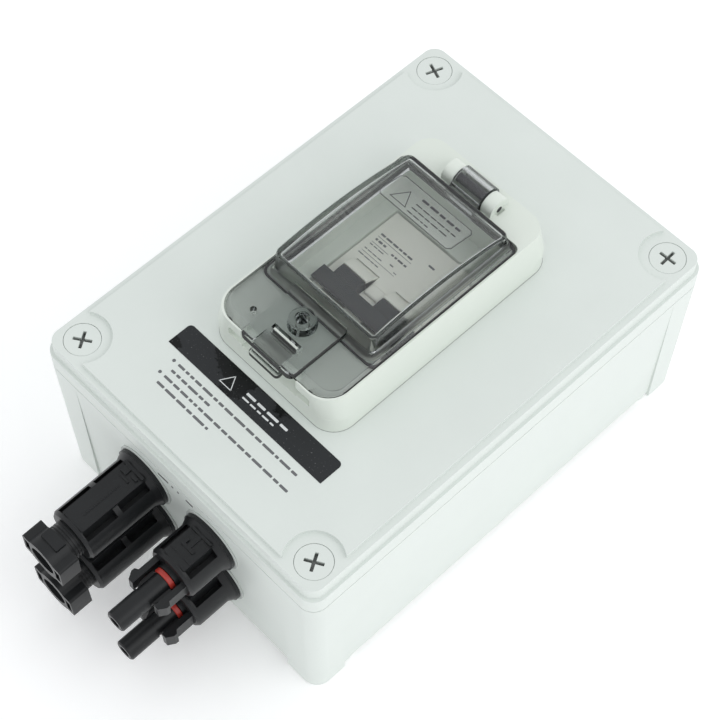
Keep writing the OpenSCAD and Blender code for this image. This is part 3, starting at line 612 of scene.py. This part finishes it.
def cover_rings():
    """From the middle of the dome's ceiling, out and round the flange, to the dome's crown."""
    rings = dome_strips(WALL + INNER_R + FRONT_LEAN, WALL)
    for k in range(5):
        a = math.radians(22.5 * k)
        rings.append(dome_ring(WALL + INNER_R * (1 - math.sin(a)), None,
                               WALL + INNER_R * (1 - math.cos(a)), FRONT_LEAN))
    rings.append(dome_ring(WALL, PLATEAU_Z, 0))
    rings.append(dome_ring(WALL, FLANGE_Z, 0))
    rings.append(flange_ring(RIM_EDGE, FLANGE_Z, 8.1, 1.8))
    rings.append(flange_ring(0.0, FLANGE_Z + RIM_EDGE, 8.3, 2.0))
    rings.append(flange_ring(0.0, RIM_TOP_Z - RIM_EDGE, 8.3, 2.0))
    rings.append(ring(25.2, -45.9, 35.9, 8.1, 2.0, RIM_TOP_Z))
    rings.append(ring(24.3, -43.2, 35.85, 5.5, 2.2, STEP_Z))
    rings.append(ring(24.15, -43.0, 35.8, 5.3, 2.2, PLATEAU_Z))
    for out, rise in foot_curve():
        rings.append(ring(DOME_HALF + FOOT_SIDE * out, DOME_Y0 - FOOT_FRONT * out,
                          DOME_Y1 + FOOT_REAR * out, 2.6 + 1.6 * out, 2.6, PLATEAU_Z + rise))
    for k in range(7):
        a = math.radians(90 - 15 * k)
        rings.append(dome_ring(EDGE_R * (1 - math.sin(a)), None, EDGE_R * (1 - math.cos(a)),
                               FRONT_LEAN))
    rings += reversed(dome_strips(EDGE_R + FRONT_LEAN, 0))
    return rings


# painted shade and light on the smoked plastic, per face corner: 1 is clear, near 0 is black
CLEAR = 1.0
# a face counts as part of a feature when its centre is this close to it
NEAR = 0.1
HINGE_FROM_Y = FLANGE_Y1 + 1.0
# a denser tint on the hinge hook
HINGE_SHADE = 0.85
# painted shade: near-black edges, a dim rim, a dark inner corner on the flange's bevel band, darker front and side
# walls, a plateau a little dimmer than the band's clear outer edge, a darker thumb hollow and a dark foot
TAB_EDGE_SHADE = 0.03
RIM_EDGE_SHADE, RIM_SHADE = 0.05, 0.85
STEP_SHADE = 0.72
FRONT_SHADE, SIDE_SHADE = 0.42, 0.78
PLATEAU_SHADE = 0.92
HOLLOW_PAINTED_SHADE, HOLLOW_DEPTH = 0.68, 0.6
FOOT_PAINTED_SHADE = 0.85


def tab_painted_shade(x, y, z, corner_z, normal, upright):
    """Painted shade on the tab and its lip: near-black edges, and a darker thumb hollow."""
    if y < LIP_Y1 - 0.2 and LIP_Z - LIP_THICK - NEAR < z < LIP_Z + NEAR:
        return TAB_EDGE_SHADE if upright else CLEAR
    if upright and z > PLATEAU_Z - NEAR and (y < TAB_Y0 + 0.9 or x > TAB_HALF - 0.5):
        return TAB_EDGE_SHADE
    in_hollow = abs(x) < CATCH_HALF + NEAR and y < SLOT_Y0 - NEAR
    if in_hollow and CATCH_TOP_Z < z < TAB_Z - 0.02 and normal.z > 0.5:
        return CLEAR - HOLLOW_PAINTED_SHADE * min(1.0, (TAB_Z - corner_z) / HOLLOW_DEPTH)
    return CLEAR


def cover_painted_shade(centre, normal, place):
    """Painted shade and light at a face corner, from the face's centre and normal and the corner's place."""
    x, y, z = (c / MM for c in centre)
    corner_z = place.z / MM
    upright = abs(normal.z) < 0.8
    if y > HINGE_FROM_Y:
        return HINGE_SHADE
    if abs(x) < TAB_HALF + 0.3 and y < DOME_Y0 - FOOT_FRONT - 0.2:
        return tab_painted_shade(x, y, z, corner_z, normal, upright)
    # painted shade along the flange's outer edge and rim
    if abs(x) > FLANGE_HALF - RIM_EDGE or y < FLANGE_Y0 + 0.3 or y > FLANGE_Y1 - 0.15:
        return RIM_EDGE_SHADE if upright else RIM_SHADE
    # painted shade and highlight on the bevel band: dark at its inner corners, clear at its outer edge
    if RIM_TOP_Z + NEAR < z < PLATEAU_Z - 0.05 and normal.z > 0.5:
        return STEP_SHADE if corner_z < STEP_Z - NEAR else CLEAR
    outside = abs(x) > DOME_HALF - 0.05 or y < DOME_Y0 + 0.05 or y > DOME_Y1 - 0.05
    base = TAB_Z if abs(x) < TAB_HALF and y < 0 else PLATEAU_Z
    # painted shade in the cove of the foot, darkest just off the flange
    if outside and base + 0.001 < z < base + FOOT_RISE:
        up = (corner_z - base) / FOOT_RISE
        return CLEAR - FOOT_PAINTED_SHADE * min(1.0, 0.4 + 5.0 * up, 2.2 - 2.0 * up)
    # painted shade on the dome's front wall, then on its side walls
    if normal.y < -0.6 and y < DOME_Y0 + 0.9 and z > PLATEAU_Z:
        return FRONT_SHADE
    if outside and upright and z > PLATEAU_Z:
        return SIDE_SHADE
    # the plateau is a little dimmer, so that the bevel band reads as a painted highlight
    return PLATEAU_SHADE if normal.z > 0.9 and z < PLATEAU_Z + 0.05 else CLEAR


def store_painted_shade(obj):
    """Writes the cover's painted shade and light to the mesh, corner by corner."""
    mesh = obj.data
    layer = mesh.color_attributes.new("shade", "FLOAT_COLOR", "CORNER")
    for polygon in mesh.polygons:
        for corner in polygon.loop_indices:
            place = mesh.vertices[mesh.loops[corner].vertex_index].co
            value = cover_painted_shade(polygon.center, polygon.normal, place)
            layer.data[corner].color = (value, value, value, 1)


def build_cover():
    """The smoked shell with its tab, catch, lip, key boss, foot and hinge hook, then its cuts."""
    cover = solid("window_cover_shell", loft(cover_rings(), False, False),
                  MATERIALS["smoked_window"])
    tab = rounded_block(TAB_HALF, TAB_Y0, TAB_Y1, 2.6, 0.3, FLANGE_Z + 1.8, TAB_Z, 0.75)
    catch = along_x([(CATCH_Y1, CATCH_TOP_Z), (CATCH_Y0, CATCH_TOP_Z), (CATCH_Y0, 84.6),
                     (-47.6, 84.2), (CATCH_Y1, 84.6)], -CATCH_HALF, CATCH_HALF)
    lip = rounded_block(LIP_HALF, LIP_Y0, LIP_Y1, 1.3, 0.4, LIP_Z - LIP_THICK, LIP_Z, 0.25)
    boss = lathe([(AXIS_R, 91.0), (4.9, 91.0), (4.8, 94.6), (4.4, 96.9), (3.9, 97.5),
                  (AXIS_R, 97.5)])
    # the dome's foot carried on over the tab
    foot = [(DOME_Y0 - FOOT_FRONT * out, TAB_Z + rise) for out, rise in foot_curve()]
    foot += [(DOME_Y0 + 0.5, TAB_Z + FOOT_RISE), (DOME_Y0 + 0.5, TAB_Z - 0.4),
             (DOME_Y0 - FOOT_FRONT, TAB_Z - 0.4)]
    arm = along_x([(34.6, 90.4), (34.6, 92.6), (37.2, 93.3), (38.6, 93.4), (39.4, 92.4),
                   (39.4, 90.4)], -CATCH_HALF, CATCH_HALF)
    hook = (arc(HINGE_Y, HINGE_Z, HOOK_R, HOOK_FROM, HOOK_TO, HOOK_STEPS)
            + arc(HINGE_Y, HINGE_Z, HOOK_INNER_R, HOOK_TO, HOOK_FROM, HOOK_STEPS))
    for part in (tab, catch, lip, moved(boss, 0, BOSS_Y),
                 along_x(foot, -TAB_HALF + 0.1, TAB_HALF - 0.1), arm,
                 along_x(hook, -CATCH_HALF, CATCH_HALF)):
        combine(cover, part, "UNION")

    hollow = arc(HOLLOW_Y, TAB_Z + HOLLOW_RISE, HOLLOW_R, 200, 340, 24)
    slot = bar(-SLOT_HALF, SLOT_Y0, SLOT_HALF, SLOT_Y1, CUT_Z, 97)
    well = lathe([(AXIS_R, CUT_Z), (1.9, CUT_Z), (1.9, 96.4), (2.6, 98.0), (AXIS_R, 98.0)])
    pin_hole = lathe([(AXIS_R, CUT_Z), (1.1, CUT_Z), (1.1, 94.0), (AXIS_R, 94.0)], 24)
    for part in (along_x(hollow, -CATCH_HALF, CATCH_HALF), slot, moved(well, 0, BOSS_Y),
                 moved(pin_hole, PIN_HOLE_X, PIN_HOLE_Y)):
        combine(cover, part, "DIFFERENCE")
    shade(cover, 17)
    # painted shade and light for the smoked shell
    store_painted_shade(cover)
    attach(cover, "window_cover")
    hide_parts("window_cover")


build_cover()


# ---------------------------------------------------------------- printed marks

INK = 0.04
label_low, label_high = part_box("notice_label")
LID_Z, STRIP_Z = label_low.z / MM, label_high.z / MM
on_lid = (LID_Z, LID_Z + INK)
on_strip = (STRIP_Z, STRIP_Z + INK)
on_cover = (0, INK)

# notice strip: a blank triangle and two rows; below it four rows, two of them with a dot
strip_marks = stroke_loop([(-11.7, -57.4), (-6.5, -57.4), (-9.1, -52.9)], 0.28, *on_strip)
strip_marks += words(-2.2, 17.4, -54.4, 0.9, *on_strip, (3.0, 6.0), 0.9)
strip_marks += words(-2.2, 12.6, -56.3, 0.6, *on_strip, (1.5, 4.0), 0.7)
make_mesh("notice_strip_marks", *joined(strip_marks), print_white, "lid")

ROW_X0, DOT_X = -24.7, -26.8
row_marks = []
for y, x1 in ((-62.8, 31.0), (-65.7, -7.0), (-68.6, 32.5), (-71.6, -1.2)):
    row_marks += words(ROW_X0, x1, y, 0.9, *on_lid, (1.2, 5.0), 0.7)
for y in (-62.8, -68.6):
    row_marks.append(disc(DOT_X, y, 0.6, *on_lid))
make_mesh("notice_rows", *joined(row_marks), print_grey, "lid")

# film label on the dome: outline, blank triangle and rows, laid on the arch
LABEL_LIFT = 0.13
label_sides = [(-16.4, 16.2), (-16.4, 20.6), (-16.4, 25.2), (-15.2, 26.4), (13.6, 26.4),
               (14.8, 25.2), (14.8, 20.6), (14.8, 16.2), (13.6, 15.0), (-15.2, 15.0)]
label_marks = stroke_loop(label_sides, 0.24, *on_cover)
label_marks += stroke_loop([(-12.8, 17.0), (-6.2, 17.0), (-9.5, 22.9)], 0.26, *on_cover)
label_marks += words(-4.8, 12.6, 23.4, 0.9, *on_cover, (2.0, 4.0), 0.7)
for y, x1 in ((20.6, 12.4), (18.6, 10.6), (16.6, 4.2)):
    label_marks += words(-4.8, x1, y, 0.42, *on_cover, (1.0, 3.4), 0.5)
vertices, faces = joined(label_marks)
vertices = [(x, y, z + arch(y) + LABEL_LIFT) for x, y, z in vertices]
make_mesh("cover_label_marks", vertices, faces, print_black, "window_cover")

# print on the breaker's nose: rows as (x0, x1, y, height), then underlines as (y, x1)
NOSE_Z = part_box("left_pole_case")[1].z / MM
on_nose = (NOSE_Z, NOSE_Z + INK)
case_marks = []
for x0, x1, y, height in ((-15.6, -1.3, 16.3, 1.2), (-15.5, -9.6, 13.7, 1.3),
                          (-7.6, -0.6, 13.0, 1.2), (-15.6, -8.4, 11.2, 0.6),
                          (-15.6, -8.0, 8.9, 0.6), (-15.9, -7.0, 6.4, 0.6),
                          (-5.2, -3.4, 10.0, 0.8), (-2.2, -0.9, 8.6, 0.5),
                          (3.7, 7.6, 18.7, 1.2), (6.4, 7.2, 6.1, 0.6)):
    case_marks += words(x0, x1, y, 0.6 * height, *on_nose, (0.9, 2.6), 0.45)
for y, x1 in ((14.9, -0.6), (12.1, -8.2), (7.6, -1.0)):
    case_marks.append(bar(-15.7, y, x1, y + 0.14, *on_nose))
make_mesh("breaker_marks", *joined(case_marks), print_grey, "enclosure")

# light skins that fill the lever slots behind the levers, and the hump between the levers
SKIN_R, SKIN_INNER_R = 10.1, 9.2
SKIN_FROM, SKIN_TO = 18, 76
LEVER_X, SKIN_HALF = 9, 5.1
skins = []
for side in (-1, 1):
    profile = (arc(AXLE_Y, AXLE_Z, SKIN_R, SKIN_FROM, SKIN_TO, 14)
               + arc(AXLE_Y, AXLE_Z, SKIN_INNER_R, SKIN_TO, SKIN_FROM, 14))
    skins.append(along_x(profile, side * LEVER_X - SKIN_HALF, side * LEVER_X + SKIN_HALF))
skin = solid("lever_skins", skins, MATERIALS["breaker_plastic"])
shade(skin, 40)
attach(skin, "toggle")
hump = solid("lever_hump",
             rounded_block(3.5, -3.6, 0.9, 0.9, 1.6, NOSE_Z - 0.5, NOSE_Z + 1.1, 0.7),
             MATERIALS["breaker_plastic"])
shade(hump, 40)
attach(hump, "enclosure")

# small moulded dashes above the connectors, drawn flat and turned onto the wall
WALL_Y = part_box("base_box")[0].y / MM
DASH_Z0, DASH_Z1 = 56.9, 57.9
dashes = []
for x0, x1 in ((-8.4, -3.4), (-2.0, -1.0), (0.7, 1.6), (4.7, 8.1)):
    vertices, faces = bar(x0, DASH_Z0, x1, DASH_Z1, -(WALL_Y + 0.3), -(WALL_Y + 0.09), 0.4)
    dashes.append(([(x, -z, y) for x, y, z in vertices], faces))
make_mesh("wall_marks", *joined(dashes), print_black, "enclosure")

# painted contact shadow: a dark grey band on the lid where the frame meets it
FRAME_HALF, FRAME_Y0, FRAME_Y1, FRAME_R = 28.5, -47.0, 50.5, 8.5
shadow_rings = []
for grow, height in ((0.14, 0.0), (0.14, 0.14), (-0.3, 0.14), (-0.3, 0.0)):
    shadow_rings.append(ring(FRAME_HALF + grow, FRAME_Y0 - grow, FRAME_Y1 + grow, FRAME_R + grow,
                           FRAME_R + grow, LID_Z + height))
make_mesh("frame_painted_contact_shadow", *loft(shadow_rings + shadow_rings[:1], False, False),
          painted_contact_shadow, "lid")

# pin ends in the hinge ears, each inside a plain ring; both start a little inside the ear
EAR_X = 9.6
ring_part = lathe([(1.2, 0.0), (1.88, 0.0), (1.88, 1.35), (1.2, 1.35)], 32)
# near-black matte pin ends: painted shade for the dark hole at each ear's end
pin_part = lathe([(AXIS_R, 0.0), (1.19, 0.0), (1.19, 1.25), (1.05, 1.37), (AXIS_R, 1.38)],
                 32)
for name, part, material in (("hinge_ear_rings", ring_part, MATERIALS["frame_plastic"]),
                             ("hinge_pin_ends", pin_part, MATERIALS["dark_seal"])):
    vertices, faces = part
    ends = [([(side * (EAR_X + c), HINGE_Y + a, HINGE_Z + b) for a, b, c in vertices], faces)
            for side in (-1, 1)]
    piece = solid(name, ends, material)
    shade(piece, 40)
    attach(piece, "lid")


# ---------------------------------------------------------------- connector details

WALL_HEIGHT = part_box("base_box")[1].z / MM
WALL_LEAN = 2.2
BAR_TOP = 9.2
UPPER_Z, LOWER_Z, CONNECTOR_X = 45.9, 22.1, 15.75


def connector_detail(name, x, z, spin_deg, marks):
    """Raised marks on a connector's upper bar: boxes as (across, along the axis, proud)."""
    axis_y = WALL_Y + WALL_LEAN * (WALL_HEIGHT - z) / WALL_HEIGHT
    tilt = math.atan(WALL_LEAN / WALL_HEIGHT)
    place = (Matrix.Translation((x, axis_y, z)) @ Matrix.Rotation(math.pi / 2 + tilt, 4, "X")
             @ Matrix.Rotation(math.radians(spin_deg), 4, "Z"))
    parts = []
    for (x0, x1), (w0, w1), top in marks:
        vertices, faces = bar(x0, w0, x1, w1, BAR_TOP, top, 0.15)
        parts.append(([place @ Vector((a, c, b)) for a, b, c in vertices],
                      [tuple(reversed(face)) for face in faces]))
    make_mesh(name, *joined(parts), MATERIALS["connector_plastic"], "enclosure")


socket_marks = [((-4.4, 4.4), (3.7, 4.9), 10.1), ((-3.2, -0.6), (4.9, 7.4), 10.0),
                ((0.8, 3.4), (5.4, 6.6), 10.0), ((-1.9, 1.9), (8.0, 8.7), 9.9),
                ((-4.7, 4.7), (29.0, 29.5), 9.55)]
socket_marks += [((0.2, 0.9), (11.0 + 1.5 * i, 12.1 + 1.5 * i), 9.7) for i in range(10)]
nose_marks = [((-4.4, 4.4), (3.7, 4.6), 10.1), ((-0.7, 0.7), (4.6, 9.2), 10.0),
              ((-2.6, 2.6), (9.2, 10.3), 10.0), ((-2.6, -1.6), (7.6, 9.2), 10.0),
              ((-4.7, 4.7), (12.6, 13.1), 9.55)]
for name, x, z, spin, marks in (
        ("socket_upper_marks", -CONNECTOR_X, UPPER_Z, -4, socket_marks),
        ("socket_lower_marks", -CONNECTOR_X, LOWER_Z, 0, socket_marks),
        ("nose_upper_marks", CONNECTOR_X, UPPER_Z, -5, nose_marks),
        ("nose_lower_marks", CONNECTOR_X, LOWER_Z, 0, nose_marks)):
    connector_detail(name, x, z, spin, marks)


# ---------------------------------------------------------------- stage

FLOOR_REACH = 3.0
FLOOR_DROP = 0.0002
floor_mesh = bpy.data.meshes.new("floor")
floor_mesh.from_pydata([(-FLOOR_REACH, -FLOOR_REACH, 0), (FLOOR_REACH, -FLOOR_REACH, 0),
                        (FLOOR_REACH, FLOOR_REACH, 0), (-FLOOR_REACH, FLOOR_REACH, 0)],
                       [], [(0, 1, 2, 3)])
floor = bpy.data.objects.new("floor", floor_mesh)
floor.location.z = cad_box[0][2] - FLOOR_DROP
floor_material, floor_shader = new_material("floor_paper")
floor_shader.inputs["Base Color"].default_value = (0.95, 0.95, 0.95, 1)
floor_shader.inputs["Roughness"].default_value = 0.9
floor_shader.inputs["Emission Color"].default_value = (1, 1, 1, 1)
floor_shader.inputs["Emission Strength"].default_value = 0.18
floor_mesh.materials.append(floor_material)

world = bpy.data.worlds.new("studio")
world.use_nodes = True
world.node_tree.nodes["Background"].inputs["Color"].default_value = (0.97, 0.985, 1.0, 1)
world.node_tree.nodes["Background"].inputs["Strength"].default_value = 0.92

key_light = bpy.data.lights.new("key", "AREA")
key_light.shape = "DISK"
key_light.size = 0.8
key_light.energy = 1.8
key = bpy.data.objects.new("key", key_light)
key.location = (0.75, 0.25, 0.7)
key_aim = Vector((0, 0, 0.05))
key.rotation_euler = (key_aim - key.location).to_track_quat("-Z", "Y").to_euler()

# camera: azimuth and elevation of the line of sight, and the point it looks at
azimuth, elevation, roll = math.radians(46.03), math.radians(58.95), math.radians(0.22)
target = Vector((-18.27, 9.48, 2.55)) * MM
distance = 0.72202
back = Vector((math.sin(azimuth) * math.cos(elevation),
               -math.cos(azimuth) * math.cos(elevation), math.sin(elevation)))
right = Vector((math.cos(azimuth), math.sin(azimuth), 0))
up = back.cross(right)
camera = bpy.data.objects.new("camera", bpy.data.cameras.new("camera"))
camera.data.sensor_width = 36
camera.data.lens = 102.2145
camera.data.clip_end = 20
axes = Matrix((right, up, back)).transposed()
camera.matrix_world = (Matrix.Translation(target + back * distance) @ axes.to_4x4()
                       @ Matrix.Rotation(roll, 4, "Z"))

scene = bpy.context.scene
for obj in (floor, key, camera):
    scene.collection.objects.link(obj)
scene.world = world
scene.camera = camera
scene.view_settings.view_transform = "Standard"
